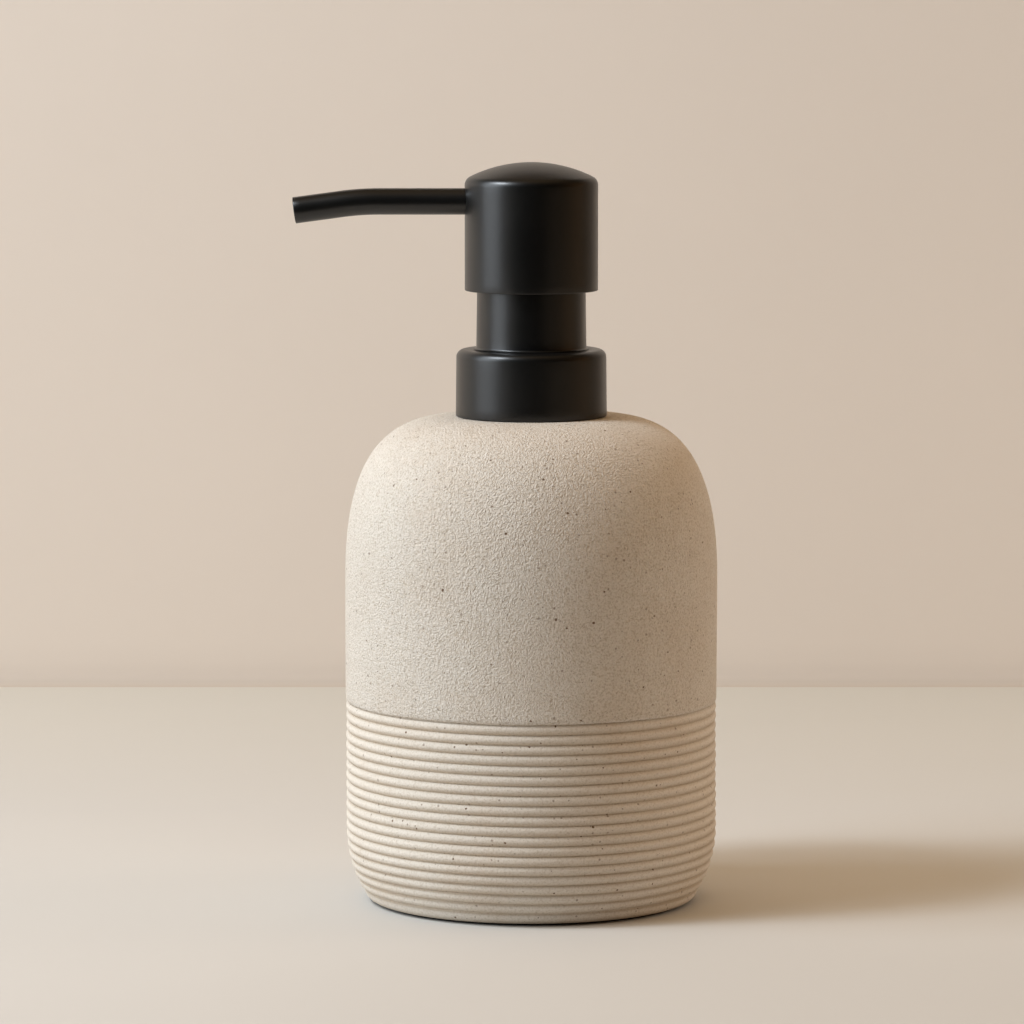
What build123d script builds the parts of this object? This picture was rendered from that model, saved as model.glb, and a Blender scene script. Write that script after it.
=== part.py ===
from build123d import *
import os
from math import cos, radians, sin, sqrt

# Soap pump dispenser: a ribbed stoneware bottle with a metal-clad lotion pump.
# Millimetres, +Z up. The origin is the middle of the face that the dispenser stands
# on, on the pump's axis, and the spout points along -X.

# ---- bottle ----
bottle_radius = 40.0
shoulder_start = 70.6
land_height = 104.6
land_radius = 18.0
foot_height = 0.45
foot_edge = 34.2
corner_radius = 26.2
corner_top = 15.7
wall = 4.8
floor_height = 8.5
floor_round = 12.0
mouth_radius = 11.7
mouth_depth = 6.5
rib_count = 20
rib_pitch = 2.144
top_groove = 43.36
groove_depth = 0.62
bead_inset = 0.08
pad_radius = 33.6
pad_thickness = 2.4

# ---- 28-400 neck and closure ----
thread_pitch = 25.4 / 6
thread_start = 108.3
neck_root = 12.65
neck_crest = 13.75
neck_bore = 10.0
neck_top = 114.4
cap_root = 14.15
cap_crest = 13.1
cap_radius = 15.34
cap_bottom = 105.0
web_bottom = 117.0
web_top = 118.3
web_hole = 9.2
gasket_thickness = 1.2
gasket_radius = 12.9
gasket_bore = 9.5
shell_radius = 16.06
shell_flare = 16.2
shell_wall = 0.6
shell_bottom = 104.75
shell_top = 119.0
shell_round = 1.7

# ---- pump housing ----
barrel_bore = 7.0
barrel_radius = 8.0
barrel_bottom = 71.5
barrel_top = 107.4
plug_radius = 9.4
flange_radius = 13.4
flange_bottom = neck_top + gasket_thickness
housing_top = 116.9
chaplet_seat = 110.6
chaplet_bore = 8.2
cage_seat = 73.0
cage_top = 74.4
foot_radius = 4.4
foot_bottom = 56.0
ball_chamber = 2.7
inlet_ball_radius = 2.0
inlet_throat = 1.2
inlet_throat_top = 65.2
tube_radius = 2.8
tube_bore = 2.1
tube_bottom = 11.0
tube_top = 63.9

# ---- guide and sleeve ----
guide_bore = 3.88
guide_radius = 5.6
guide_top = 121.5
cup_radius = 10.99
cup_bore = 9.5
cup_floor = 119.9
cup_top = 133.7
sleeve_top_radius = 11.6
sleeve_foot_radius = 11.8
sleeve_wall = 0.55
sleeve_flare = 0.55
sleeve_top = 134.3
sleeve_round = 0.6
sleeve_hole = 7.4

# ---- head ----
head_radius = 14.26
head_bottom = 131.6
head_wall = 0.65
dome_edge = 155.3
dome_rise = 3.67
dome_round = 2.0
core_radius = 13.54
core_bottom = 146.6
core_top = 154.2
boss_radius = 6.5
boss_bottom = 135.0
stem_radius = 3.8
stem_bottom = 110.2
stem_top = 147.0
stem_bore = 1.6
outlet_ball_radius = 1.9
outlet_throat = 1.2
outlet_chamber = 2.4
chamber_top = 151.8

# ---- spout ----
spout_height = 150.6
spout_radius = 2.83
spout_bore = 2.3
spout_inner_end = 5.5
spout_straight_end = 32.4
spout_bend_radius = 61.5
spout_droop = radians(7.75)
spout_reach = 50.7

# ---- piston, rod and spring ----
rod_radius = 2.55
rod_bore = 1.5
rod_bottom = 100.5
rod_top = 128.0
rod_spigot = 4.2
rod_flange_radius = 5.8
rod_flange_bottom = 102.4
snap_height = 126.55
snap_rise = 0.2
piston_radius = 6.94
piston_bottom = 103.6
piston_top = 110.15
piston_hub = 4.5
spring_wire = 0.45
spring_radius = 5.2
spring_turns = 8.5

# ---- gaps and edges ----
running_gap = 0.05
seat_gap = 0.03
fit_gap = 0.02
small_edge = 0.4


def turned(*outline):
    """A solid of revolution about Z; the outline runs through (radius, height)."""
    return revolve(Plane.XZ * make_face(outline), Axis.Z)


def turned_points(*points):
    """A solid of revolution with straight sides only."""
    return turned(Polyline(*points, close=True))


def tube(outer, inner, low, high):
    """A plain ring between two radii and two heights."""
    return turned_points((inner, low), (outer, low), (outer, high), (inner, high))


def across(radius, near, far, height):
    """A cylinder along -X, from near to far of the axis, at a height."""
    rod = Cylinder(radius, far - near, align=(Align.CENTER, Align.CENTER, Align.MIN))
    return Pos(-near, 0, height) * Rot(0, -90, 0) * rod


def wall_point(height, depth):
    """The point of the outer wall at a height, sunk by a depth along the wall's normal.
    The corner between wall and foot is one arc, whose centre is level with its top."""
    corner_centre = bottle_radius - corner_radius
    drop = max(corner_top - height, 0)
    run = sqrt(corner_radius**2 - drop**2)
    radius = corner_centre + run - depth * run / corner_radius
    return (radius, height + depth * drop / corner_radius)


def ribs():
    """Round beads between narrow grooves, from the top groove down to the lowest."""
    grooves = [top_groove - i * rib_pitch for i in range(rib_count)]
    beads = []
    for upper, lower in zip(grooves, grooves[1:]):
        start = wall_point(upper, groove_depth)
        crown = wall_point((upper + lower) / 2, bead_inset)
        end = wall_point(lower, groove_depth)
        beads.append(ThreePointArc(start, crown, end))
    return beads


def shoulder(radius, start, end_radius, top):
    """The curve from the straight wall over the shoulder to the level land."""
    upright = 0.6
    flatness = 0.74
    return Bezier(
        (radius, start),
        (radius, start + upright * (top - start)),
        (end_radius + flatness * (radius - end_radius), top),
        (end_radius, top),
    )


def bottle():
    """The hollow stoneware body, with a recess under it for the pad."""
    recess = pad_radius + 0.1
    foot = (foot_edge, foot_height)
    foot_crown = wall_point(1.5, bead_inset)
    first = wall_point(top_groove, groove_depth)
    last = wall_point(top_groove - (rib_count - 1) * rib_pitch, groove_depth)
    wall_start = (bottle_radius, top_groove + groove_depth)
    inner_radius = bottle_radius - wall
    inner_shoulder = shoulder_start - 3.0
    inner_top = land_height - mouth_depth
    floor_edge = inner_radius - floor_round
    wall_end = (inner_radius, floor_height + floor_round)
    return turned(
        Polyline((0, pad_thickness), (recess, pad_thickness), (recess, foot_height), foot),
        ThreePointArc(foot, foot_crown, last),
        *ribs(),
        Polyline(first, wall_start, (bottle_radius, shoulder_start)),
        shoulder(bottle_radius, shoulder_start, land_radius, land_height),
        Polyline((land_radius, land_height), (mouth_radius, land_height), (mouth_radius, inner_top)),
        shoulder(inner_radius, inner_shoulder, mouth_radius, inner_top),
        Line((inner_radius, inner_shoulder), wall_end),
        RadiusArc(wall_end, (floor_edge, floor_height), floor_round),
        Polyline((floor_edge, floor_height), (0, floor_height), (0, pad_thickness)),
    )


def base_pad():
    """The soft disc that the bottle stands on; its lower edge is broken."""
    edge = 0.25
    return turned_points(
        (0, 0),
        (pad_radius - edge, 0),
        (pad_radius, edge),
        (pad_radius, pad_thickness),
        (0, pad_thickness),
    )


def thread(root, crest, start, turns):
    """A helical ridge from a root radius to a crest radius, sunk a little into its wall."""
    sunk = 0.2 if crest > root else -0.2
    half_root = 1.05
    half_crest = 0.6
    path = Helix(thread_pitch, thread_pitch * turns, root, center=(0, 0, start))
    ridge = Polyline(
        (root - sunk, start - half_root),
        (crest, start - half_crest),
        (crest, start + half_crest),
        (root - sunk, start + half_root),
        close=True,
    )
    return sweep(Plane.XZ * make_face(ridge), path, is_frenet=True)


def neck_insert():
    """The threaded neck: a plug bonded in the bottle's mouth and a 28-400 finish above."""
    plug = mouth_radius - 0.05
    plug_bottom = land_height - mouth_depth + 0.5
    glue_groove_low = 100.4
    glue_groove_high = 102.0
    neck = turned_points(
        (neck_bore, plug_bottom),
        (plug - small_edge, plug_bottom),
        (plug, plug_bottom + small_edge),
        (plug, glue_groove_low),
        (plug - small_edge, glue_groove_low + small_edge),
        (plug - small_edge, glue_groove_high - small_edge),
        (plug, glue_groove_high),
        (plug, land_height),
        (neck_root, land_height),
        (neck_root, neck_top - small_edge),
        (neck_root - small_edge, neck_top),
        (neck_bore, neck_top),
    )
    return neck + thread(neck_root, neck_crest, thread_start, 1.0)


def neck_gasket():
    """The flat sealing ring between the neck and the pump's flange."""
    return tube(gasket_radius, gasket_bore, neck_top, flange_bottom)


def closure():
    """The threaded cap that clamps the pump's flange down on the gasket."""
    corner = 1.0
    cap = turned_points(
        (cap_root + small_edge, cap_bottom),
        (cap_radius, cap_bottom),
        (cap_radius, web_top - corner),
        (cap_radius - corner, web_top),
        (web_hole, web_top),
        (web_hole, web_bottom),
        (cap_root, web_bottom),
        (cap_root, cap_bottom + small_edge),
    )
    return cap + thread(cap_root, cap_crest, thread_start - thread_pitch / 2, 1.25)


def collar_shell():
    """The drawn metal cover over the closure, slightly wider at its open end."""
    edge = 0.15
    inner = cap_radius + fit_gap
    inner_round = shell_round - shell_wall - 0.2
    ceiling = shell_top - shell_wall
    hole = cup_radius + 0.15
    round_start = (shell_radius, shell_top - shell_round)
    round_end = (shell_radius - shell_round, shell_top)
    inside_start = (inner - inner_round, ceiling)
    inside_end = (inner, ceiling - inner_round)
    rim = (shell_flare, shell_bottom + edge)
    return turned(
        Polyline((inner, shell_bottom), (shell_flare - edge, shell_bottom), rim, round_start),
        RadiusArc(round_start, round_end, -shell_round),
        Polyline(round_end, (hole, shell_top), (hole, ceiling), inside_start),
        RadiusArc(inside_start, inside_end, inner_round),
        Line(inside_end, (inner, shell_bottom)),
    )


def housing():
    """The pump's cylinder: flange, barrel, ball seat and socket for the dip tube."""
    socket_top = tube_top + 0.1
    neck_taper = 2.0
    foot_taper = 5.0
    ledge = 4.6
    pocket_top = cage_seat - (ledge - ball_chamber)
    seat_top = inlet_throat_top + ball_chamber - inlet_throat
    shell = turned_points(
        (tube_radius, foot_bottom),
        (foot_radius, foot_bottom),
        (foot_radius, barrel_bottom - foot_taper),
        (barrel_radius, barrel_bottom),
        (barrel_radius, barrel_top),
        (plug_radius, barrel_top + neck_taper),
        (plug_radius, flange_bottom),
        (flange_radius, flange_bottom),
        (flange_radius, housing_top),
        (chaplet_bore, housing_top),
        (chaplet_bore, chaplet_seat),
        (barrel_bore, chaplet_seat),
        (barrel_bore, cage_seat),
        (ledge, cage_seat),
        (ball_chamber, pocket_top),
        (ball_chamber, seat_top),
        (inlet_throat, inlet_throat_top),
        (inlet_throat, socket_top),
        (tube_radius, socket_top),
    )
    # A vent in the back of the barrel, closed by the piston's lips at rest.
    vent_radius = 0.5
    vent = Pos(0, barrel_radius, barrel_top - vent_radius) * Rot(90, 0, 0) * Cylinder(vent_radius, 4)
    return shell - vent


def ball_cage():
    """The spring's seat, slotted for the soap, with a pin that stops the inlet ball."""
    rim = barrel_bore - fit_gap
    pin_tip = 0.8
    pin_root = 1.1
    pin_bottom = 71.2
    port_radius = 0.9
    port_ring = 2.9
    disc = turned_points(
        (0, pin_bottom),
        (pin_tip, pin_bottom),
        (pin_root, cage_seat),
        (rim, cage_seat),
        (rim, cage_top),
        (0, cage_top),
    )
    ports = [Pos(0, 0, cage_seat) * loc * Cylinder(port_radius, 4) for loc in PolarLocations(port_ring, 6)]
    return disc - ports


def chaplet():
    """The guide bush locked in the housing, with a cup for the head's boss above it."""
    guide_wall = 5.2
    lock_wall = 7.1
    slot_top = 116.0
    lock_radius = chaplet_bore - fit_gap
    waist = web_hole - 0.15
    cup_bottom = web_top + 0.05
    return turned_points(
        (guide_bore, chaplet_seat),
        (guide_wall, chaplet_seat),
        (guide_wall, slot_top),
        (lock_wall, slot_top),
        (lock_wall, chaplet_seat),
        (lock_radius, chaplet_seat),
        (lock_radius, housing_top),
        (waist, housing_top),
        (waist, cup_bottom),
        (cup_radius, cup_bottom),
        (cup_radius, cup_top),
        (cup_bore, cup_top),
        (cup_bore, cup_floor),
        (guide_radius, cup_floor),
        (guide_radius, guide_top),
        (guide_bore, guide_top),
    )


def guide_sleeve():
    """The drawn metal sleeve over the cup, with a small flared foot and a turned-in top."""
    bottom = shell_top + running_gap
    inner_foot = sleeve_foot_radius - sleeve_wall
    inner_top = sleeve_top_radius - sleeve_wall
    ceiling = sleeve_top - sleeve_wall
    flare_start = (sleeve_foot_radius + sleeve_flare, bottom)
    flare_end = (sleeve_foot_radius, bottom + sleeve_flare)
    round_start = (sleeve_top_radius, sleeve_top - sleeve_round)
    round_end = (sleeve_top_radius - sleeve_round, sleeve_top)
    return turned(
        Line((inner_foot, bottom), flare_start),
        RadiusArc(flare_start, flare_end, sleeve_flare),
        Line(flare_end, round_start),
        RadiusArc(round_start, round_end, -sleeve_round),
        Polyline(round_end, (sleeve_hole, sleeve_top), (sleeve_hole, ceiling), (inner_top, ceiling)),
        Line((inner_top, ceiling), (inner_foot, bottom)),
    )


def dip_tube():
    """The straight suction tube; its lower end is cut at a slant."""
    slant = 35
    cut_height = tube_bottom + tube_radius * 0.7
    knife = Box(20, 20, 4, align=(Align.CENTER, Align.CENTER, Align.MAX))
    pipe = tube(tube_radius, tube_bore, tube_bottom, tube_top)
    return pipe - Pos(0, 0, cut_height) * Rot(0, slant, 0) * knife


def ball_on_seat(radius, throat, throat_top):
    """A ball that rests in a 45 degree seat that opens upward from a throat."""
    apex = throat_top - throat
    return Pos(0, 0, apex + radius * sqrt(2) + seat_gap) * Sphere(radius)


def spring():
    """The return spring between the cage and the rod's flange."""
    low = cage_top + spring_wire
    length = rod_flange_bottom - cage_top - 2 * spring_wire
    path = Helix(length / spring_turns, length, spring_radius, center=(0, 0, low))
    wire = Plane(path @ 0, z_dir=path % 0) * Circle(spring_wire)
    return sweep(wire, path, is_frenet=True)


def piston():
    """The sliding seal with two lips, clamped between the rod's flange and the stem."""
    bore = rod_radius + running_gap
    web_low = 106.0
    web_high = 107.6
    lip_root = 6.0
    lip_tip = 6.4
    lip_low = piston_bottom + 0.2
    lip_high = piston_top - 0.4
    lip_edge = 0.7
    lip_length = 1.8
    waist = piston_radius - 0.4
    return turned_points(
        (bore, piston_bottom),
        (piston_hub, piston_bottom),
        (piston_hub, web_low),
        (lip_root, web_low),
        (lip_tip, lip_low),
        (piston_radius, lip_low),
        (piston_radius, lip_low + lip_edge),
        (waist, lip_low + lip_length),
        (waist, lip_high - lip_length),
        (piston_radius, lip_high - lip_edge),
        (piston_radius, lip_high),
        (lip_tip, lip_high),
        (lip_root, web_high),
        (piston_hub, web_high),
        (piston_hub, piston_top),
        (bore, piston_top),
    )


def piston_rod():
    """The hollow rod through the piston; a bead near its top snaps into the stem."""
    bead = rod_radius + snap_rise
    bead_half = 0.25
    bead_foot = 0.55
    return turned_points(
        (rod_bore, rod_bottom),
        (rod_spigot, rod_bottom),
        (rod_spigot, rod_flange_bottom),
        (rod_flange_radius, rod_flange_bottom),
        (rod_flange_radius, piston_bottom),
        (rod_radius, piston_bottom),
        (rod_radius, snap_height - bead_foot),
        (bead, snap_height - bead_half),
        (bead, snap_height + bead_half),
        (rod_radius, snap_height + bead_foot),
        (rod_radius, rod_top),
        (rod_bore, rod_top),
    )


def stem():
    """The hollow stem pressed in the head; its top is the outlet ball's seat."""
    socket = rod_radius + running_gap
    socket_end = rod_top + 0.5
    groove = socket + snap_rise + running_gap
    groove_half = 0.45
    groove_foot = 0.95
    throat_top = stem_top - (outlet_chamber - outlet_throat)
    throat_length = 1.0
    throat_bottom = throat_top - throat_length
    return turned_points(
        (socket, stem_bottom),
        (stem_radius, stem_bottom),
        (stem_radius, stem_top),
        (outlet_chamber, stem_top),
        (outlet_throat, throat_top),
        (outlet_throat, throat_bottom),
        (stem_bore, throat_bottom - (stem_bore - outlet_throat)),
        (stem_bore, socket_end + socket - stem_bore),
        (socket, socket_end),
        (socket, snap_height + groove_foot),
        (groove, snap_height + groove_half),
        (groove, snap_height - groove_half),
        (socket, snap_height - groove_foot),
    )


def head_core():
    """The moulded core: disc, boss, ball chamber and the socket that holds the spout."""
    core = turned_points(
        (stem_radius, boss_bottom),
        (boss_radius, boss_bottom),
        (boss_radius, core_bottom),
        (core_radius, core_bottom),
        (core_radius, core_top),
        (0, core_top),
        (0, chamber_top),
        (outlet_chamber, chamber_top),
        (outlet_chamber, stem_top),
        (stem_radius, stem_top),
    )
    # Moulding pockets under the disc, left solid around the spout.
    pocket_inner = boss_radius + 1.2
    pocket_outer = core_radius - 1.4
    pocket_top = core_top - 1.6
    pocket_sweep = 80
    pocket_starts = (-140, -40, 60)
    pocket = make_face(
        Polyline(
            (pocket_inner, core_bottom - 1),
            (pocket_outer, core_bottom - 1),
            (pocket_outer, pocket_top),
            (pocket_inner, pocket_top),
            close=True,
        )
    )
    pockets = [Rot(0, 0, start) * revolve(Plane.XZ * pocket, Axis.Z, pocket_sweep) for start in pocket_starts]
    socket = across(spout_radius, spout_inner_end, core_radius + 2, spout_height)
    passage = across(outlet_throat, outlet_chamber - 1, spout_inner_end + 1, spout_height)
    return core - pockets - socket - passage


def head_shell():
    """The domed metal cap, open below, with a chamfered hole for the spout."""
    dome = (head_radius**2 + dome_rise**2) / (2 * dome_rise)
    centre = dome_edge + dome_rise - dome
    inner = head_radius - head_wall
    rim = 0.2
    hole_gap = 0.12
    chamfer_size = 0.8

    def dome_arc(sphere, radius):
        points = [(r, centre + sqrt(sphere**2 - r**2)) for r in (radius, radius / 2, 0)]
        return ThreePointArc(*points)

    outer_arc = dome_arc(dome, head_radius)
    inner_arc = dome_arc(dome - head_wall, inner)
    rim_top = (head_radius, head_bottom + rim)
    shell = turned(
        Polyline((inner, head_bottom), (head_radius - rim, head_bottom), rim_top, outer_arc @ 0),
        outer_arc,
        Line(outer_arc @ 1, inner_arc @ 1),
        inner_arc,
        Line(inner_arc @ 0, (inner, head_bottom)),
    )
    circles = shell.edges().filter_by(GeomType.CIRCLE)
    outer_circles = circles.filter_by(lambda edge: abs(edge.radius - head_radius) < 0.001)
    shell = fillet(outer_circles.sort_by(Axis.Z)[-1], dome_round)
    hole = across(spout_radius + hole_gap, core_radius - 2, head_radius + 1, spout_height)
    cone = Cone(
        spout_radius + hole_gap + chamfer_size,
        spout_radius + hole_gap,
        chamfer_size,
        align=(Align.CENTER, Align.CENTER, Align.MIN),
    )
    chamfer = Pos(-head_radius - 0.3, 0, spout_height) * Rot(0, 90, 0) * cone
    return shell - hole - chamfer


def spout_route():
    """The spout's centre line: straight out of the head, a slight bend, then a straight tip."""

    def on_bend(angle):
        run = spout_bend_radius * sin(angle)
        drop = spout_bend_radius * (1 - cos(angle))
        return (-spout_straight_end - run, spout_height - drop)

    bend_start = on_bend(0)
    bend_end = on_bend(spout_droop)
    tail = (spout_reach + bend_end[0]) / cos(spout_droop)
    tip = (-spout_reach, bend_end[1] - tail * sin(spout_droop))
    return (
        Line((-spout_inner_end, spout_height), bend_start)
        + ThreePointArc(bend_start, on_bend(spout_droop / 2), bend_end)
        + Line(bend_end, tip)
    )


def spout_tube():
    """The bent metal tube pressed in the head's core."""
    mouth = Plane((-spout_inner_end, 0, spout_height), z_dir=(-1, 0, 0))
    section = mouth * Circle(spout_radius) - mouth * Circle(spout_bore)
    return sweep(section, Plane.XZ * spout_route())


parts = {
    "bottle": bottle(),
    "base_pad": base_pad(),
    "neck_insert": neck_insert(),
    "neck_gasket": neck_gasket(),
    "closure": closure(),
    "collar_shell": collar_shell(),
    "housing": housing(),
    "ball_cage": ball_cage(),
    "chaplet": chaplet(),
    "guide_sleeve": guide_sleeve(),
    "dip_tube": dip_tube(),
    "inlet_ball": ball_on_seat(inlet_ball_radius, inlet_throat, inlet_throat_top),
    "spring": spring(),
    "piston": piston(),
    "piston_rod": piston_rod(),
    "stem": stem(),
    "outlet_ball": ball_on_seat(outlet_ball_radius, outlet_throat, stem_top - outlet_chamber + outlet_throat),
    "head_core": head_core(),
    "head_shell": head_shell(),
    "spout_tube": spout_tube(),
}

os.makedirs("parts", exist_ok=True)
for name, solid in parts.items():
    export_step(solid, f"parts/{name}.step")
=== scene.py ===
from math import atan2, cos, hypot, pi, radians, sin, sqrt

import bpy
import numpy as np
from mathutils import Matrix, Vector


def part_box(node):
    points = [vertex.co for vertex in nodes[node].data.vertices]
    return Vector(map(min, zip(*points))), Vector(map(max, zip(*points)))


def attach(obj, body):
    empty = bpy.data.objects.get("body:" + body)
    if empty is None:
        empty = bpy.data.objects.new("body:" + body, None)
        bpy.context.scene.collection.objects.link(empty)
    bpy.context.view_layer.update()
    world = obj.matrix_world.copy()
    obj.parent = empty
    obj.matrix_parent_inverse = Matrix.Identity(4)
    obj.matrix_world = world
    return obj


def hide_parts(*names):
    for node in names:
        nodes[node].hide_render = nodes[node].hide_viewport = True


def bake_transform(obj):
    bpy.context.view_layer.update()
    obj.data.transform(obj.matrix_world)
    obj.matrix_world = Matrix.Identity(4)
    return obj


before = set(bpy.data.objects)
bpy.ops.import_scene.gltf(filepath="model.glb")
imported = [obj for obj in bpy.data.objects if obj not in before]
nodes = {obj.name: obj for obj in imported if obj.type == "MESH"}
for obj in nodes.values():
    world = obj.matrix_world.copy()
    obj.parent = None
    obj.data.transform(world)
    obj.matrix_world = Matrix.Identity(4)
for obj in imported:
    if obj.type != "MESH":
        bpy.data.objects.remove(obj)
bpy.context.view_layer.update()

MM = 0.001
rng = np.random.default_rng(28)

# ---- sizes in millimetres, as the CAD part has them ----
bottle_radius = 40.0
shoulder_start = 70.6
land_height = 104.6
land_radius = 18.0
foot_height = 0.45
foot_edge = 34.2
corner_radius = 26.2
corner_top = 15.7
wall = 4.8
floor_height = 8.5
floor_round = 12.0
mouth_radius = 11.7
mouth_depth = 6.5
rib_count = 20
rib_pitch = 2.144
top_groove = 43.36
groove_depth = 0.62
bead_inset = 0.08
head_wall = 0.65
dome_rise = 3.67
dome_round = 2.0
shell_wall = 0.6
shell_round = 1.7
sleeve_wall = 0.55
sleeve_flare = 0.55
spout_bore = 2.3
spout_straight_end = 32.4
spout_bend_radius = 61.5
spout_droop = radians(7.75)
spring_wire = 0.45
spring_turns = 8.5


def node_box(name):
    """A CAD node's lowest and highest corners in millimetres."""
    low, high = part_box(name)
    return low / MM, high / MM


# ---- outlines and lathed meshes ----
def line(start, end, steps=1):
    """Points from start towards end, without the end."""
    return [
        (start[0] + (end[0] - start[0]) * i / steps, start[1] + (end[1] - start[1]) * i / steps)
        for i in range(steps)
    ]


def arc(centre, radius, from_angle, to_angle, steps):
    """Points along an arc in degrees, without its end."""
    turn = (to_angle - from_angle) / steps
    angles = [radians(from_angle + turn * i) for i in range(steps)]
    return [(centre[0] + radius * cos(a), centre[1] + radius * sin(a)) for a in angles]


def arc_through(start, middle, end, steps):
    """Points along the arc through three points, without its end."""
    (ax, ay), (bx, by), (cx, cy) = start, middle, end
    a2, b2, c2 = ax**2 + ay**2, bx**2 + by**2, cx**2 + cy**2
    twice_area = 2 * (ax * (by - cy) + bx * (cy - ay) + cx * (ay - by))
    centre_x = (a2 * (by - cy) + b2 * (cy - ay) + c2 * (ay - by)) / twice_area
    centre_y = (a2 * (cx - bx) + b2 * (ax - cx) + c2 * (bx - ax)) / twice_area
    first = atan2(ay - centre_y, ax - centre_x)
    last = atan2(cy - centre_y, cx - centre_x)
    swing = (last - first + pi) % (2 * pi) - pi
    radius = hypot(ax - centre_x, ay - centre_y)
    angles = [first + swing * i / steps for i in range(steps)]
    return [(centre_x + radius * cos(a), centre_y + radius * sin(a)) for a in angles]


def bezier(p0, p1, p2, p3, steps):
    """Points along a cubic curve, without its end."""
    points = []
    for i in range(steps):
        t = i / steps
        weights = (1 - t) ** 3, 3 * t * (1 - t) ** 2, 3 * t**2 * (1 - t), t**3
        points.append(tuple(sum(w * q for w, q in zip(weights, part)) for part in zip(p0, p1, p2, p3)))
    return points


def mesh_piece(name, vertices, faces, sharp_angle=32):
    """A smooth-shaded mesh object with creases where faces meet at more than an angle."""
    mesh = bpy.data.meshes.new(name)
    mesh.from_pydata(vertices, [], faces)
    mesh.validate()
    mesh.shade_smooth()
    mesh.set_sharp_from_angle(angle=radians(sharp_angle))
    piece = bpy.data.objects.new(name, mesh)
    bpy.context.scene.collection.objects.link(piece)
    return piece


def band(here, beyond, segments):
    """The faces between two rings of points, which start at these two points."""
    faces = []
    for i in range(segments):
        j = (i + 1) % segments
        faces.append((here + i, here + j, beyond + j, beyond + i))
    return faces


def lathe(name, outline, segments, closed=True, shape=None, sharp_angle=32):
    """Turns an outline of (radius, height) in millimetres about Z.
    A closed outline makes a ring; an open one starts and ends on the axis."""
    radii = np.array([p[0] for p in outline])
    heights = np.array([p[1] for p in outline])
    angles = np.arange(segments) * 2 * pi / segments
    rows = list(range(len(outline)) if closed else range(1, len(outline) - 1))
    grid_r = np.repeat(radii[rows][:, None], segments, 1)
    grid_z = np.repeat(heights[rows][:, None], segments, 1)
    grid_a = np.repeat(angles[None, :], len(rows), 0)
    if shape is not None:
        grid_r, grid_z = shape(grid_r, grid_z, grid_a)
    points = np.stack([grid_r * np.cos(grid_a), grid_r * np.sin(grid_a), grid_z], -1).reshape(-1, 3)
    vertices = [tuple(p) for p in points * MM]
    faces = []
    spans = len(rows) if closed else len(rows) - 1
    for row in range(spans):
        faces += band(row * segments, (row + 1) % len(rows) * segments, segments)
    if not closed:
        bottom = len(vertices)
        vertices.append((0, 0, heights[0] * MM))
        vertices.append((0, 0, heights[-1] * MM))
        last = (len(rows) - 1) * segments
        for i in range(segments):
            j = (i + 1) % segments
            faces.append((bottom, j, i))
            faces.append((bottom + 1, last + i, last + j))
    return mesh_piece(name, vertices, faces, sharp_angle)


# ---- the stoneware bottle ----
corner_centre = bottle_radius - corner_radius


def wall_point(height, depth):
    """The point of the outer wall at a height, sunk by a depth along the wall's normal."""
    drop = max(corner_top - height, 0)
    run = sqrt(corner_radius**2 - drop**2)
    return (corner_centre + run - depth * run / corner_radius, height + depth * drop / corner_radius)


def shoulder(radius, start, end_radius, top, steps):
    """The curve from the straight wall over the shoulder to the level land."""
    rise_pull, inward_pull = 0.6, 0.74
    return bezier(
        (radius, start),
        (radius, start + rise_pull * (top - start)),
        (end_radius + inward_pull * (radius - end_radius), top),
        (end_radius, top),
        steps,
    )


def rib_outline():
    """Round beads from the lowest groove up to the top one; each groove has a small round root."""
    root = 0.07
    points = []
    for i in range(rib_count - 1, 0, -1):
        low = top_groove - i * rib_pitch
        high = low + rib_pitch
        start = wall_point(low + root, groove_depth - root)
        end = wall_point(high - root, groove_depth - root)
        middle = wall_point((low + high) / 2, bead_inset)
        points += [wall_point(low, groove_depth)]
        points += arc_through(start, middle, end, 5)
        points += [end]
    return points


def bottle_outline():
    """The whole section from the middle of the underside round to the middle of the floor inside."""
    pad_high = node_box("base_pad")[1]
    pad_radius, pad_top = pad_high.x, pad_high.z
    gap = 0.1
    mouth_edge = 0.2
    middle_ring = 8
    foot_bead_middle = 1.5
    inner = bottle_radius - wall
    inner_top = land_height - mouth_depth
    inner_shoulder = shoulder_start - 3
    last_groove = top_groove - (rib_count - 1) * rib_pitch
    recess = pad_radius + gap
    outer = [(0, pad_top), (recess - middle_ring, pad_top), (recess, pad_top), (recess, foot_height + gap)]
    outer += [(recess + gap, foot_height), (foot_edge - gap, foot_height)]
    outer += arc_through(
        (foot_edge, foot_height),
        wall_point(foot_bead_middle, bead_inset),
        wall_point(last_groove, groove_depth),
        6,
    )
    outer += rib_outline()
    # The wall swells out of the top groove in three points.
    outer += [wall_point(top_groove, groove_depth)]
    outer += [(bottle_radius - 0.12, top_groove + 0.28), (bottle_radius - 0.02, top_groove + 0.6)]
    outer += line((bottle_radius, top_groove + 1.2), (bottle_radius, shoulder_start), 14)
    outer += shoulder(bottle_radius, shoulder_start, land_radius, land_height, 26)
    outer += line((land_radius, land_height), (mouth_radius + mouth_edge, land_height), 4)
    inside = [(mouth_radius + mouth_edge, land_height)]
    inside += line((mouth_radius, land_height - mouth_edge), (mouth_radius, inner_top), 3)
    under = shoulder(inner, inner_shoulder, mouth_radius, inner_top, 14)
    inside += [(mouth_radius, inner_top)] + under[:0:-1]
    inside += line((inner, inner_shoulder), (inner, floor_height + floor_round), 4)
    inside += arc((inner - floor_round, floor_height + floor_round), floor_round, 0, -90, 7)
    inside += [(inner - floor_round, floor_height), (middle_ring, floor_height), (0, floor_height)]
    return outer + inside, len(outer)


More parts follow.
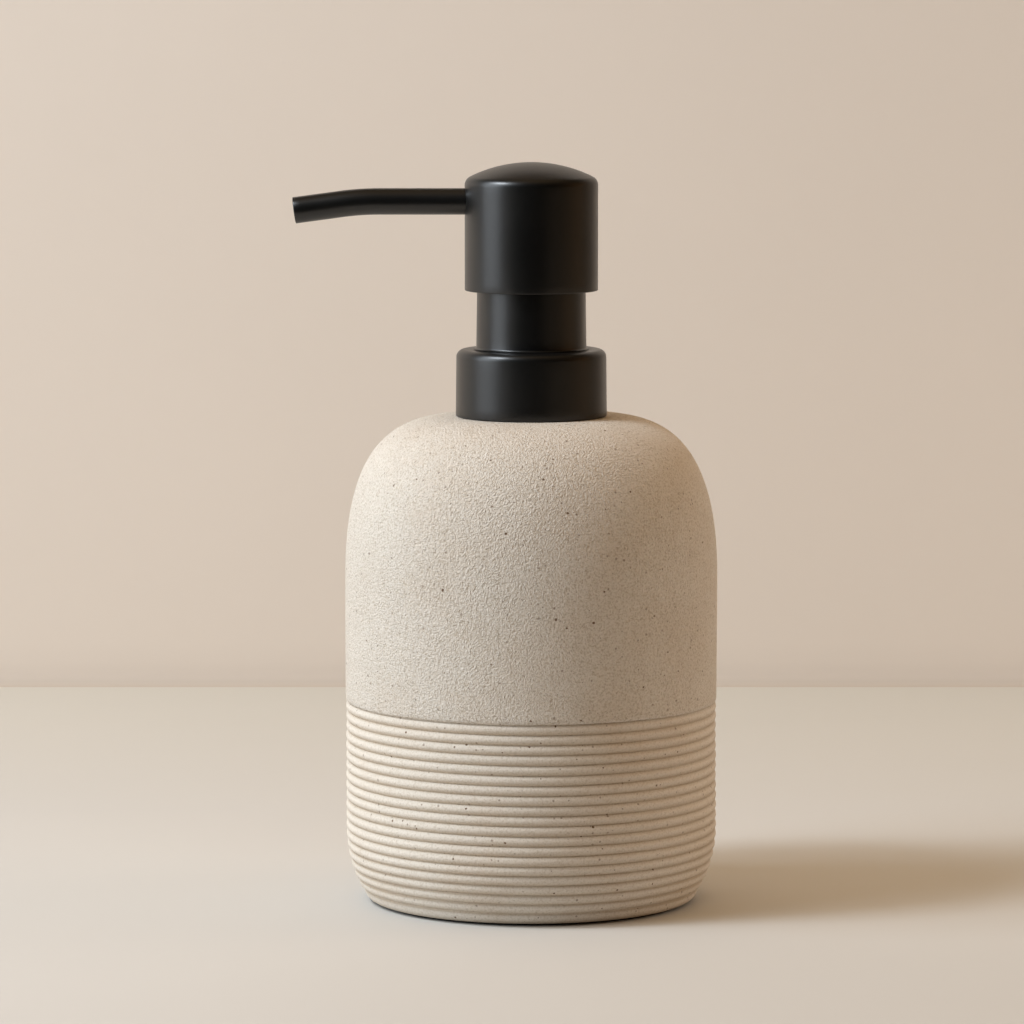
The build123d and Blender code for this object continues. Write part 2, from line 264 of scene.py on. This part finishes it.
def waves(strengths):
    """A slow ripple round the bottle: harmonics with these strengths and random phases."""
    phases = rng.uniform(0, 2 * pi, len(strengths))

    def ripple(angle):
        total = 0
        for order, (strength, phase) in enumerate(zip(strengths, phases), start=1):
            total = total + strength * np.sin(order * angle + phase)
        return total

    return ripple


def throwing_marks(outer_rows):
    """Moves the outer rows a little, as a hand-turned wall does: uneven ribs and a wall that is not quite
    round. The foot and the rows near the mouth stay where they are."""
    lift_waves = (0.035, 0.03, 0.02, 0.015, 0.015, 0.012)
    swell_waves = (0.02, 0.02, 0.015, 0.015, 0.01, 0.01, 0.012, 0.01, 0.01)
    lift = [waves(lift_waves) for _ in range(rib_count + 2)]
    swell = [waves(swell_waves) for _ in range(rib_count + 2)]
    body = waves((0.05, 0.04, 0.03, 0.02))
    slope = waves((0.04, 0.03, 0.03))
    rows_at_mouth = 8
    still_foot, foot_fade, neck_fade = 0.2, 3, 12
    above_ribs = 0.7
    twist, slope_length = 0.02, 9

    def shape(radius, height, angle):
        place = np.clip((top_groove - height[:, 0]) / rib_pitch, 0, rib_count)
        for row in range(1, outer_rows - rows_at_mouth):
            r, z, a = radius[row], height[row], angle[row]
            if z[0] < foot_height + still_foot:
                continue
            below = int(place[row])
            share = place[row] - below
            fade = min(1.0, (z[0] - foot_height) / foot_fade)
            if z[0] <= top_groove + above_ribs:
                z += fade * ((1 - share) * lift[below](a) + share * lift[below + 1](a))
                r += fade * ((1 - share) * swell[below](a) + share * swell[below + 1](a))
            fade *= min(1.0, max(0.0, (land_height - z[0]) / neck_fade))
            r += fade * (body(a) + slope(a + twist * z[0]) * np.sin(z[0] / slope_length))
        return radius, height

    return shape


def make_bottle():
    """The hollow bottle, whose outside is as uneven as a hand-turned one."""
    outline, outer_count = bottle_outline()
    marks = throwing_marks(outer_count - 1)
    piece = lathe("stoneware_bottle", outline, 480, closed=False, shape=marks, sharp_angle=60)
    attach(piece, "bottle_body")
    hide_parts("bottle")
    return piece


# ---- the metal skins of the pump ----
def make_collar_shell():
    """The collar's cover: a round shoulder above and a rim that turns out slightly below."""
    low, high = node_box("collar_shell")
    flare, bottom, top = high.x, low.z, high.z
    flare_width, clearance = 0.13, 0.15
    rim, edge = 0.2, 0.1
    radius = flare - flare_width
    inner = radius - shell_wall - edge
    inner_round = 0.9
    hole = node_box("chaplet")[1].x + clearance
    outline = arc((flare - rim, bottom + rim), rim, -90, 0, 4)
    outline += line((flare, bottom + rim), (radius, top - shell_round), 6)
    outline += arc((radius - shell_round, top - shell_round), shell_round, 0, 90, 12)
    outline += line((radius - shell_round, top), (hole + edge, top), 3)
    outline += [(hole + edge, top), (hole, top - edge), (hole, top - shell_wall)]
    outline += line((hole, top - shell_wall), (inner - inner_round, top - shell_wall), 2)[1:]
    outline += arc((inner - inner_round, top - shell_wall - inner_round), inner_round, 90, 0, 5)
    outline += [(inner, top - shell_wall - inner_round), (inner, bottom)]
    piece = lathe("collar_cover", outline, 256)
    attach(piece, "collar")
    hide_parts("collar_shell")
    return piece


def make_guide_sleeve():
    """The sleeve under the head: slightly tapered, with a foot that flares out onto the collar."""
    low, high = node_box("guide_sleeve")
    taper = 0.2
    foot_radius = high.x - sleeve_flare
    top_radius = foot_radius - taper
    foot, top = low.z, high.z
    inner_foot = foot_radius - sleeve_wall
    inner_top = top_radius - sleeve_wall
    lip, lip_edge, round_top = 7.4, 0.1, 0.6
    edge = 0.08
    outline = [(inner_foot, foot), (high.x - edge, foot), (high.x, foot + edge)]
    outline += arc((high.x, foot + sleeve_flare + edge), sleeve_flare, -90, -180, 8)
    outline += line((foot_radius, foot + sleeve_flare + edge), (top_radius, top - round_top), 8)
    outline += arc((top_radius - round_top, top - round_top), round_top, 0, 90, 6)
    outline += [(top_radius - round_top, top), (lip + lip_edge, top), (lip, top - lip_edge)]
    outline += [(lip, top - sleeve_wall), (inner_top, top - sleeve_wall)]
    piece = lathe("guide_skin", outline, 256)
    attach(piece, "pump_frame")
    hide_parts("guide_sleeve")
    return piece


def cut(piece, cutter):
    """Takes a cutter's volume out of a piece and removes the cutter."""
    modifier = piece.modifiers.new("cut", "BOOLEAN")
    modifier.operation = "DIFFERENCE"
    modifier.solver = "EXACT"
    modifier.object = cutter
    graph = bpy.context.evaluated_depsgraph_get()
    result = bpy.data.meshes.new_from_object(piece.evaluated_get(graph))
    piece.modifiers.remove(modifier)
    old = piece.data
    piece.data = result
    bpy.data.meshes.remove(old)
    bpy.data.objects.remove(cutter)


def make_head_shell():
    """The domed cap, with a hole for the spout in its side."""
    low, high = node_box("head_shell")
    radius, bottom, top = high.x, low.z, high.z
    sphere = (radius**2 + dome_rise**2) / (2 * dome_rise)
    centre = top - sphere
    inner = radius - head_wall
    # The round between skirt and dome touches the vertical wall and the sphere from inside.
    round_r = radius - dome_round
    round_z = centre + sqrt((sphere - dome_round) ** 2 - round_r**2)
    meet = atan2(round_z - centre, round_r)
    dome_steps, inner_steps = 18, 8
    dome_angle = [meet + (pi / 2 - meet) * i / dome_steps for i in range(dome_steps)]
    inner_sphere = sphere - head_wall
    inner_meet = atan2(sqrt(inner_sphere**2 - inner**2), inner)
    inner_angle = [pi / 2 - (pi / 2 - inner_meet) * i / inner_steps for i in range(1, inner_steps + 1)]
    rim, edge = 0.22, 0.1
    outline = [(inner, bottom + edge), (inner + edge, bottom), (radius - rim, bottom)]
    outline += arc((radius - rim, bottom + rim), rim, -75, 0, 4)
    outline += line((radius, bottom + rim), (radius, round_z), 14)
    outline += arc((round_r, round_z), dome_round, 0, meet * 180 / pi, 10)
    outline += [(sphere * cos(a), centre + sphere * sin(a)) for a in dome_angle]
    inner_side = [(inner_sphere * cos(a), centre + inner_sphere * sin(a)) for a in inner_angle]
    piece = dome_mesh("head_cap", outline, top, top - head_wall, inner_side, 256)
    # The spout's hole is a little wider than the tube and opens out towards the skin.
    spout_high = node_box("spout_tube")[1]
    spout_radius = spout_high.y
    hole_radius, hole_mouth = spout_radius + 0.1, spout_radius + 1.6
    outside, countersink, depth = 1.5, 0.42, 3
    hole_profile = [
        (-radius - outside, hole_mouth),
        (-radius + countersink, hole_radius),
        (-radius + depth, hole_radius),
    ]
    cut(piece, radial_cutter(hole_profile, spout_high.z - spout_radius))
    piece.data.shade_smooth()
    piece.data.set_sharp_from_angle(angle=radians(30))
    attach(piece, "head")
    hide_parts("head_shell")
    return piece


def dome_mesh(name, outer, outer_top, inner_top, inner, segments):
    """A cap with a closed top: the outer outline up to its pole, then the inner one down from its own. The
    poles are given by their heights in millimetres."""
    rows = outer + inner
    angles = np.arange(segments) * 2 * pi / segments
    vertices = [(r * cos(a) * MM, r * sin(a) * MM, z * MM) for r, z in rows for a in angles]
    faces = []
    count = len(rows)
    for row in range(count):
        if row == len(outer) - 1:
            continue
        faces += band(row * segments, (row + 1) % count * segments, segments)
    poles = len(vertices)
    vertices += [(0, 0, outer_top * MM), (0, 0, inner_top * MM)]
    last = (len(outer) - 1) * segments
    first = len(outer) * segments
    for i in range(segments):
        j = (i + 1) % segments
        faces.append((last + i, last + j, poles))
        faces.append((first + j, first + i, poles + 1))
    return mesh_piece(name, vertices, faces, 30)


def radial_cutter(profile, height):
    """A turned cutter lying along X: its profile is (x, radius) at a height in millimetres."""
    segments = 96
    angles = np.arange(segments) * 2 * pi / segments
    vertices = [(x * MM, r * cos(a) * MM, (height + r * sin(a)) * MM) for x, r in profile for a in angles]
    faces = []
    for row in range(len(profile) - 1):
        faces += band(row * segments, (row + 1) * segments, segments)
    faces.append(tuple(reversed(range(segments))))
    faces.append(tuple((len(profile) - 1) * segments + i for i in range(segments)))
    return mesh_piece("cutter", vertices, faces)


def make_spout():
    """The bent tube with a rounded rim, swept along its own centre line."""
    low, high = node_box("spout_tube")
    radius = high.y
    height = high.z - radius
    start = high.x
    # The lowest x is at the top of the slanted rim, beyond the tip's centre.
    reach = -low.x - radius * sin(spout_droop)
    run = spout_bend_radius * sin(spout_droop)
    tail = (reach - spout_straight_end - run) / cos(spout_droop)
    straight_steps, bend_steps, tail_steps, rim_steps = 8, 12, 6, 8
    stations = []
    for i in range(straight_steps + 1):
        stations.append((start + (-spout_straight_end - start) * i / straight_steps, height, 0.0))
    for i in range(1, bend_steps + 1):
        a = spout_droop * i / bend_steps
        x = -spout_straight_end - spout_bend_radius * sin(a)
        stations.append((x, height - spout_bend_radius * (1 - cos(a)), a))
    bend_x, bend_z, _ = stations[-1]
    for i in range(1, tail_steps + 1):
        along = tail * i / tail_steps
        stations.append((bend_x - along * cos(spout_droop), bend_z - along * sin(spout_droop), spout_droop))
    # Sections run out along the skin, round the rim and back along the bore.
    rim = 0.16
    tip_x, tip_z, tip_a = stations[-1]
    sections = [(x, z, a, radius) for x, z, a in stations[:-1]]
    half_wall = (radius - spout_bore) / 2
    for i in range(rim_steps + 1):
        t = pi * i / rim_steps
        back = rim * (1 - sin(t))
        ring = (radius + spout_bore) / 2 + half_wall * cos(t)
        sections.append((tip_x + back * cos(tip_a), tip_z + back * sin(tip_a), tip_a, ring))
    sections += [(x, z, a, spout_bore) for x, z, a in reversed(stations[:-1])]
    segments = 96
    vertices = []
    for x, z, a, r in sections:
        for k in range(segments):
            t = 2 * pi * k / segments
            side, up = r * cos(t), r * sin(t)
            vertices.append(((x - up * sin(a)) * MM, side * MM, (z + up * cos(a)) * MM))
    faces = []
    count = len(sections)
    for row in range(count):
        here, beyond = row * segments, (row + 1) % count * segments
        for k in range(segments):
            m = (k + 1) % segments
            faces.append((here + m, here + k, beyond + k, beyond + m))
    piece = mesh_piece("spout_pipe", vertices, faces, 40)
    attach(piece, "head")
    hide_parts("spout_tube")
    return piece


def make_spring():
    """The return spring, which shortens as the plunger goes down."""
    flange_above_rod_end = 1.9
    cage_top = node_box("ball_cage")[1].z
    rod_flange = node_box("piston_rod")[0].z + flange_above_rod_end
    radius = node_box("spring")[1].y - spring_wire
    length = rod_flange - cage_top - 2 * spring_wire
    curve = bpy.data.curves.new("spring_line", "CURVE")
    curve.dimensions = "3D"
    curve.bevel_depth = spring_wire * MM
    curve.bevel_resolution = 4
    curve.use_fill_caps = True
    per_turn = 40
    count = int(spring_turns * per_turn) + 1
    spline = curve.splines.new("POLY")
    spline.points.add(count - 1)
    for i in range(count):
        turn = 2 * pi * i / per_turn
        z = cage_top + spring_wire + length * i / (count - 1)
        spline.points[i].co = (radius * cos(turn) * MM, radius * sin(turn) * MM, z * MM, 1)
    holder = bpy.data.objects.new("spring_line", curve)
    bpy.context.scene.collection.objects.link(holder)
    graph = bpy.context.evaluated_depsgraph_get()
    mesh = bpy.data.meshes.new_from_object(holder.evaluated_get(graph))
    bpy.data.objects.remove(holder)
    piece = bpy.data.objects.new("return_spring", mesh)
    bpy.context.scene.collection.objects.link(piece)
    mesh.shade_smooth()
    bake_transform(piece)
    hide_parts("spring")
    return piece


# ---- materials ----
MIX_FIRST, MIX_SECOND, MIX_RESULT = 6, 7, 2  # a Mix node's colour sockets


def node_adder(tree):
    """A function that adds a node to a tree: sockets among its inputs are linked, other values are set."""

    def add(kind, inputs=None, **settings):
        node = tree.nodes.new(kind)
        for key, value in settings.items():
            setattr(node, key, value)
        for key, value in (inputs or {}).items():
            if isinstance(value, bpy.types.NodeSocket):
                tree.links.new(value, node.inputs[key])
            else:
                node.inputs[key].default_value = value
        return node

    return add


def new_material(name):
    """A material, its Principled shader, a function that adds nodes to it, and its links."""
    material = bpy.data.materials.new(name)
    material.use_nodes = True
    tree = material.node_tree
    return material, tree.nodes["Principled BSDF"], node_adder(tree), tree.links


def object_place(add):
    return add("ShaderNodeTexCoord").outputs["Object"]


def noise(add, place, scale, detail=2.0, **more):
    inputs = {"Vector": place, "Scale": scale, "Detail": detail, **more}
    return add("ShaderNodeTexNoise", inputs).outputs["Fac"]


def ramp(add, source, *stops):
    """A colour ramp from (place, colour) stops."""
    node = add("ShaderNodeValToRGB", {"Fac": source})
    elements = node.color_ramp.elements
    while len(elements) < len(stops):
        elements.new(0.5)
    for element, (place, colour) in zip(elements, stops):
        element.position = place
        element.color = (*colour, 1.0)
    return node.outputs["Color"]


def calculate(add, operation, *values):
    return add("ShaderNodeMath", dict(enumerate(values)), operation=operation).outputs["Value"]


def spread(add, value, low, high, to_low=0.0, to_high=1.0):
    """Maps a value between low and high to another range, and keeps it inside that."""
    ends = {"From Min": low, "From Max": high, "To Min": to_low, "To Max": to_high}
    return add("ShaderNodeMapRange", {"Value": value, **ends}).outputs["Result"]


def mix(add, share, first, second, blend="MIX"):
    """Blends a second colour into the first."""
    colours = {"Factor": share, MIX_FIRST: first, MIX_SECOND: second}
    return add("ShaderNodeMix", colours, data_type="RGBA", blend_type=blend).outputs[MIX_RESULT]


def choose(add, condition, usual, instead):
    """One shader, or another where a condition is 1."""
    return add("ShaderNodeMixShader", {"Fac": condition, 1: usual, 2: instead}).outputs["Shader"]


def bump(add, height, strength, distance):
    """A normal from a height; the distance is in metres."""
    inputs = {"Height": height, "Strength": strength, "Distance": distance}
    return add("ShaderNodeBump", inputs).outputs["Normal"]


def rib_shares(add, place):
    """How far down its own bead a point is, from groove to groove, and whether it is on the ribs at all."""
    height = add("ShaderNodeSeparateXYZ", {"Vector": place}).outputs["Z"]
    beads = calculate(add, "DIVIDE", calculate(add, "SUBTRACT", top_groove * MM, height), rib_pitch * MM)
    return calculate(add, "FRACT", beads), spread(add, beads, -0.05, 0.05)


def specks(add, place, colour, scale, largest, softness, strength):
    """Scatters round brown iron specks of uneven size over a colour. Sizes are shares of a cell."""
    iron = (0.14, 0.075, 0.03, 1.0)
    wobble = add("ShaderNodeTexNoise", {"Vector": place, "Scale": scale * 6, "Detail": 1.0}).outputs["Color"]
    shift = add("ShaderNodeVectorMath", {0: wobble, "Scale": 0.12 / scale}, operation="SCALE")
    moved = add("ShaderNodeVectorMath", {0: place, 1: shift.outputs["Vector"]}, operation="ADD")
    cells = add("ShaderNodeTexVoronoi", {"Vector": moved.outputs["Vector"], "Scale": scale})
    luck = add("ShaderNodeSeparateColor", {"Color": cells.outputs["Color"]}).outputs["Red"]
    size = spread(add, luck, 0.35, 1.0, 0.0, largest)
    edge = calculate(add, "ADD", size, softness)
    inside = spread(add, cells.outputs["Distance"], size, edge, strength, 0.0)
    return mix(add, inside, colour, iron)


def stoneware():
    """Sandy matt glaze: fine grain and brown iron specks, with painted light on the upper half of each bead
    and painted shade on its lower half and in the grooves.
    """
    material, shader, add, links = new_material("stoneware")
    place = object_place(add)
    bead_share, on_ribs = rib_shares(add, place)
    broad = noise(add, place, 45.0, 4.0, Roughness=0.6)
    warm, middle, pale = (0.692, 0.619, 0.533), (0.721, 0.664, 0.589), (0.740, 0.689, 0.616)
    clay = ramp(add, broad, (0.3, warm), (0.5, middle), (0.72, pale))
    sand_tint = ramp(
        add,
        noise(add, place, 2400.0, 1.0),
        (0.30, (0.77, 0.725, 0.66)),
        (0.46, (0.96, 0.95, 0.93)),
        (0.56, (1.02, 1.02, 1.02)),
        (0.70, (1.06, 1.06, 1.06)),
    )
    ribs_sand_tint = mix(add, 0.5, sand_tint, (0.98, 0.97, 0.96, 1.0))
    colour = mix(add, 1.0, clay, mix(add, on_ribs, sand_tint, ribs_sand_tint), "MULTIPLY")
    # Painted light and shade on the beads: darker in the grooves, paler on the upper half of each bead and
    # browner on its lower half, as light from above falls on them.
    bead_light_and_shade = ramp(
        add,
        bead_share,
        (0.0, (0.77, 0.71, 0.63)),
        (0.14, (0.96, 0.96, 0.95)),
        (0.34, (1.05, 1.05, 1.05)),
        (0.58, (0.98, 0.97, 0.95)),
        (0.84, (0.84, 0.79, 0.73)),
        (1.0, (0.77, 0.71, 0.63)),
    )
    colour = mix(add, on_ribs, colour, bead_light_and_shade, "MULTIPLY")
    colour = specks(add, place, colour, 380.0, 0.095, 0.03, 0.95)
    colour = specks(add, place, colour, 620.0, 0.14, 0.07, 0.55)
    links.new(colour, shader.inputs["Base Color"])
    links.new(spread(add, broad, 0.3, 0.7, 0.62, 0.74), shader.inputs["Roughness"])
    shader.inputs["Specular IOR Level"].default_value = 0.35
    grain = noise(add, place, 1850.0, 1.0, Distortion=0.3)
    fine = noise(add, place, 3200.0)
    height = calculate(add, "MULTIPLY_ADD", grain, fine, calculate(add, "MULTIPLY", fine, 0.25))
    relief = spread(add, on_ribs, 0.0, 1.0, 0.95, 0.30)
    links.new(bump(add, height, relief, 0.00056), shader.inputs["Normal"])
    return material


def coated_steel():
    """Satin black powder coat: a very fine grain and slight changes of gloss."""
    material, shader, add, links = new_material("black_coat")
    place = object_place(add)
    broad = noise(add, place, 60.0, 3.0)
    tone = ramp(add, broad, (0.35, (0.0020, 0.0020, 0.0019)), (0.7, (0.0032, 0.0031, 0.0029)))
    links.new(tone, shader.inputs["Base Color"])
    links.new(spread(add, broad, 0.3, 0.7, 0.31, 0.36), shader.inputs["Roughness"])
    shader.inputs["Specular IOR Level"].default_value = 0.62
    links.new(bump(add, noise(add, place, 5200.0), 0.5, 0.00002), shader.inputs["Normal"])
    return material


def moulded(name, dark, light, roughness, specular=0.5, subsurface=0.0):
    """Moulded plastic or rubber: a faint mottle and a slightly uneven gloss."""
    material, shader, add, links = new_material(name)
    place = object_place(add)
    mottle = noise(add, place, 140.0, 3.0)
    links.new(ramp(add, mottle, (0.35, dark), (0.68, light)), shader.inputs["Base Color"])
    uneven = spread(add, mottle, 0.3, 0.7, roughness - 0.05, roughness + 0.05)
    links.new(uneven, shader.inputs["Roughness"])
    shader.inputs["Specular IOR Level"].default_value = specular
    if subsurface:
        shader.inputs["Subsurface Weight"].default_value = subsurface
        shader.inputs["Subsurface Scale"].default_value = 0.002
        shader.inputs["Subsurface Radius"].default_value = (1.0, 0.9, 0.75)
    links.new(bump(add, noise(add, place, 2600.0), 0.4, 0.00002), shader.inputs["Normal"])
    return material


def foam():
    """Closed-cell foam: small round pores."""
    material, shader, add, links = new_material("foam_rubber")
    cells = add("ShaderNodeTexVoronoi", {"Vector": object_place(add), "Scale": 2200.0}).outputs["Distance"]
    tone = ramp(add, cells, (0.1, (0.52, 0.50, 0.46)), (0.55, (0.70, 0.68, 0.63)))
    links.new(tone, shader.inputs["Base Color"])
    shader.inputs["Roughness"].default_value = 0.9
    links.new(bump(add, cells, 0.5, 0.00006), shader.inputs["Normal"])
    return material


def stainless(name, roughness, along=(300.0, 300.0, 2400.0)):
    """Bare stainless steel with fine drawing or polishing lines."""
    material, shader, add, links = new_material(name)
    stretched = add("ShaderNodeMapping", {"Vector": object_place(add), "Scale": along}).outputs["Vector"]
    lines = noise(add, stretched, 1.0, 3.0)
    tone = ramp(add, lines, (0.3, (0.50, 0.50, 0.49)), (0.7, (0.62, 0.61, 0.59)))
    links.new(tone, shader.inputs["Base Color"])
    shader.inputs["Metallic"].default_value = 1.0
    uneven = spread(add, lines, 0.3, 0.7, roughness * 0.8, roughness * 1.2)
    links.new(uneven, shader.inputs["Roughness"])
    return material


def painted_board(name, colour, axis, span, *light_and_shade_stops):
    """The backdrop: smooth pale paint with a barely visible mottle, multiplied along an axis by painted
    light and shade, given as (share, colour) stops over a span in metres. It can be seen through from
    behind."""
    material, shader, add, links = new_material(name)
    place = object_place(add)
    darker = tuple(c * 0.985 for c in colour)
    paint = ramp(add, noise(add, place, 9.0, 4.0), (0.3, darker), (0.7, colour))
    along = add("ShaderNodeSeparateXYZ", {"Vector": place}).outputs[axis]
    # Painted light and shade: the stops make the paint paler or darker along the axis.
    painted_light_and_shade = ramp(add, spread(add, along, *span), *light_and_shade_stops)
    links.new(mix(add, 1.0, paint, painted_light_and_shade, "MULTIPLY"), shader.inputs["Base Color"])
    shader.inputs["Roughness"].default_value = 0.8
    shader.inputs["Specular IOR Level"].default_value = 0.2
    from_behind = add("ShaderNodeNewGeometry").outputs["Backfacing"]
    clear = add("ShaderNodeBsdfTransparent").outputs["BSDF"]
    surface = choose(add, from_behind, shader.outputs["BSDF"], clear)
    links.new(surface, material.node_tree.nodes["Material Output"].inputs["Surface"])
    return material


# ---- the object ----
def dress(piece, material):
    piece.data.materials.clear()
    piece.data.materials.append(material)


stone = stoneware()
coat = coated_steel()
natural_plastic = moulded("natural_plastic", (0.66, 0.66, 0.63), (0.78, 0.78, 0.75), 0.38, subsurface=0.25)
black_plastic = moulded("black_plastic", (0.012, 0.012, 0.012), (0.018, 0.018, 0.017), 0.42)
soft_plastic = moulded("soft_plastic", (0.74, 0.74, 0.72), (0.84, 0.84, 0.82), 0.45, subsurface=0.3)
pad_rubber = moulded("pad_rubber", (0.020, 0.018, 0.016), (0.032, 0.029, 0.026), 0.75, specular=0.3)
gasket_foam = foam()
drawn_wire = stainless("drawn_wire", 0.28)
polished_ball = stainless("polished_ball", 0.12, (900.0, 900.0, 900.0))

dress(make_bottle(), stone)
dress(make_collar_shell(), coat)
dress(make_guide_sleeve(), coat)
dress(make_head_shell(), coat)
dress(make_spout(), coat)
dress(make_spring(), drawn_wire)

cad_materials = {
    "base_pad": pad_rubber,
    "neck_insert": natural_plastic,
    "neck_gasket": gasket_foam,
    "closure": black_plastic,
    "housing": natural_plastic,
    "ball_cage": natural_plastic,
    "chaplet": black_plastic,
    "dip_tube": natural_plastic,
    "inlet_ball": polished_ball,
    "outlet_ball": polished_ball,
    "piston": soft_plastic,
    "piston_rod": natural_plastic,
    "stem": black_plastic,
    "head_core": black_plastic,
}
for name, material in cad_materials.items():
    dress(nodes[name], material)


# ---- floor, wall, light and camera ----
def backdrop():
    """One sheet: the floor, a tight cove and the wall behind."""
    front_edge = -1.15
    wall_place = 0.335
    wall_top = 0.5
    cove = 0.004
    half_width = 2.5
    profile = line((front_edge, 0.0), (wall_place - cove, 0.0), 4)
    profile += arc((wall_place - cove, cove), cove, -90, 0, 8)
    profile += [(wall_place, cove), (wall_place, wall_top / 2), (wall_place, wall_top)]
    vertices = []
    for y, z in profile:
        vertices += [(-half_width, y, z), (half_width, y, z)]
    faces = [(2 * i, 2 * i + 1, 2 * i + 3, 2 * i + 2) for i in range(len(profile) - 1)]
    piece = mesh_piece("backdrop", vertices, faces, 40)
    # The floor has painted light that makes it paler towards the wall, and the wall has painted shade that
    # makes it darker in the cove.
    floor_paint_and_light = painted_board(
        "floor_paint_and_light",
        (0.545, 0.537, 0.512),
        "Y",
        (0.12, wall_place),
        (0.0, (1.11, 1.12, 1.135)),
        (1.0, (1.22, 1.21, 1.16)),
    )
    wall_paint_and_shade = painted_board(
        "wall_paint_and_shade",
        (0.795, 0.702, 0.612),
        "Z",
        (0.0, 0.012),
        (0.1, (0.76, 0.77, 0.77)),
        (0.2, (0.85, 0.85, 0.85)),
        (0.32, (0.94, 0.94, 0.94)),
        (0.55, (0.975, 0.975, 0.975)),
        (1.0, (1.0, 1.0, 1.0)),
    )
    dress(piece, floor_paint_and_light)
    piece.data.materials.append(wall_paint_and_shade)
    for face in piece.data.polygons:
        if face.center.y > wall_place - cove:
            face.material_index = 1
    return piece


def soft_box(name, around, elevation, distance, size, energy, colour):
    """A rectangular lamp aimed at the middle of the bottle. Its angles are in degrees: around the
    object from the camera's side, and above the floor."""
    lamp = bpy.data.lights.new(name, "AREA")
    lamp.shape = "RECTANGLE"
    lamp.size, lamp.size_y = size
    lamp.energy = energy
    lamp.color = colour
    holder = bpy.data.objects.new(name, lamp)
    bpy.context.scene.collection.objects.link(holder)
    around, elevation = radians(around), radians(elevation)
    direction = Vector((sin(around) * cos(elevation), -cos(around) * cos(elevation), sin(elevation)))
    bottle_middle = Vector((0, 0, 0.08))
    holder.location = bottle_middle + direction * distance
    holder.rotation_euler = direction.to_track_quat("Z", "Y").to_euler()
    return holder


def lamps():
    """A large soft box on the left, a small one nearer and higher, and a faint one on the right, behind."""
    cool_white = (0.91, 0.985, 1.06)
    warm_white = (1.0, 0.93, 0.84)
    soft_box(
        "window", around=-73.5, elevation=27, distance=1.3, size=(0.85, 1.32), energy=14.2, colour=cool_white
    )
    soft_box(
        "near_box", around=-68, elevation=50, distance=0.55, size=(0.10, 0.10), energy=1.3, colour=cool_white
    )
    edge = soft_box(
        "edge_box", around=100, elevation=12, distance=0.45, size=(0.2, 0.3), energy=0.4, colour=warm_white
    )
    edge.visible_glossy = False


def black_flag():
    """A black card in front, seen only in reflections, which keeps the middle of the pump dark."""
    y = -0.32
    left, right = -0.22, 0.16
    bottom, top = 0.001, 0.5
    corners = [(left, y, bottom), (right, y, bottom), (right, y, top), (left, y, top)]
    card = mesh_piece("black_flag", corners, [(0, 1, 2, 3)])
    material, shader = new_material("flag_felt")[:2]
    shader.inputs["Base Color"].default_value = (0.004, 0.004, 0.004, 1.0)
    shader.inputs["Specular IOR Level"].default_value = 0.0
    dress(card, material)
    card.visible_camera = False
    card.visible_diffuse = False
    card.visible_shadow = False
    card.visible_transmission = False


def room_light():
    """The warm room around the set: each part of it is bright towards one direction and fades away from it.
    Glossy surfaces reflect a share of it, and the camera itself sees a plain pale room."""
    room_parts = (
        (Vector((0, 0, 1)), 6.0, (1.56, 1.00, 0.48), 0.20),
        (Vector((0.98, 0.1, 0.17)), 10.0, (1.12, 0.56, 0.22), 0.38),
    )
    seen_colour = (0.60, 0.50, 0.41, 1.0)
    world = bpy.data.worlds.new("room")
    bpy.context.scene.world = world
    world.use_nodes = True
    tree = world.node_tree
    add = node_adder(tree)

    def background(colour):
        return add("ShaderNodeBackground", {"Color": colour}).outputs["Background"]

    def room(shares):
        """The room's parts added up, each dimmed to its share."""
        lights = []
        for (_, _, colour, _), glow, share in zip(room_parts, glows, shares):
            tinted = {0: [c * share for c in colour], "Scale": glow}
            lights.append(add("ShaderNodeVectorMath", tinted, operation="SCALE").outputs["Vector"])
        return add("ShaderNodeVectorMath", dict(enumerate(lights)), operation="ADD").outputs["Vector"]

    direction = add("ShaderNodeTexCoord").outputs["Generated"]
    glows = []
    for towards, sharpness, _, _ in room_parts:
        facing = add("ShaderNodeVectorMath", {0: direction, 1: towards}, operation="DOT_PRODUCT")
        brightness = calculate(add, "MAXIMUM", facing.outputs["Value"], 0.0)
        glows.append(calculate(add, "POWER", brightness, sharpness))
    lighting = background(room([1.0] * len(room_parts)))
    reflected = background(room([part[3] for part in room_parts]))
    rays = add("ShaderNodeLightPath").outputs
    lit = choose(add, rays["Is Glossy Ray"], lighting, reflected)
    result = choose(add, rays["Is Camera Ray"], lit, background(seen_colour))
    tree.links.new(result, tree.nodes["World Output"].inputs["Surface"])


def front_camera():
    """A long lens 1.2 m in front of the object and a little above it, looking slightly down."""
    look_down = 0.1068
    camera = bpy.data.cameras.new("front")
    camera.lens = 197.55
    camera.sensor_width = 36.0
    camera.clip_start = 0.05
    camera.clip_end = 20.0
    holder = bpy.data.objects.new("front", camera)
    holder.location = (-0.00414, -1.2, 0.21255)
    holder.rotation_euler = (pi / 2 - look_down, 0, 0)
    bpy.context.scene.collection.objects.link(holder)
    bpy.context.scene.camera = holder


backdrop()
black_flag()
lamps()
room_light()
front_camera()
bpy.context.scene.view_settings.view_transform = "Standard"
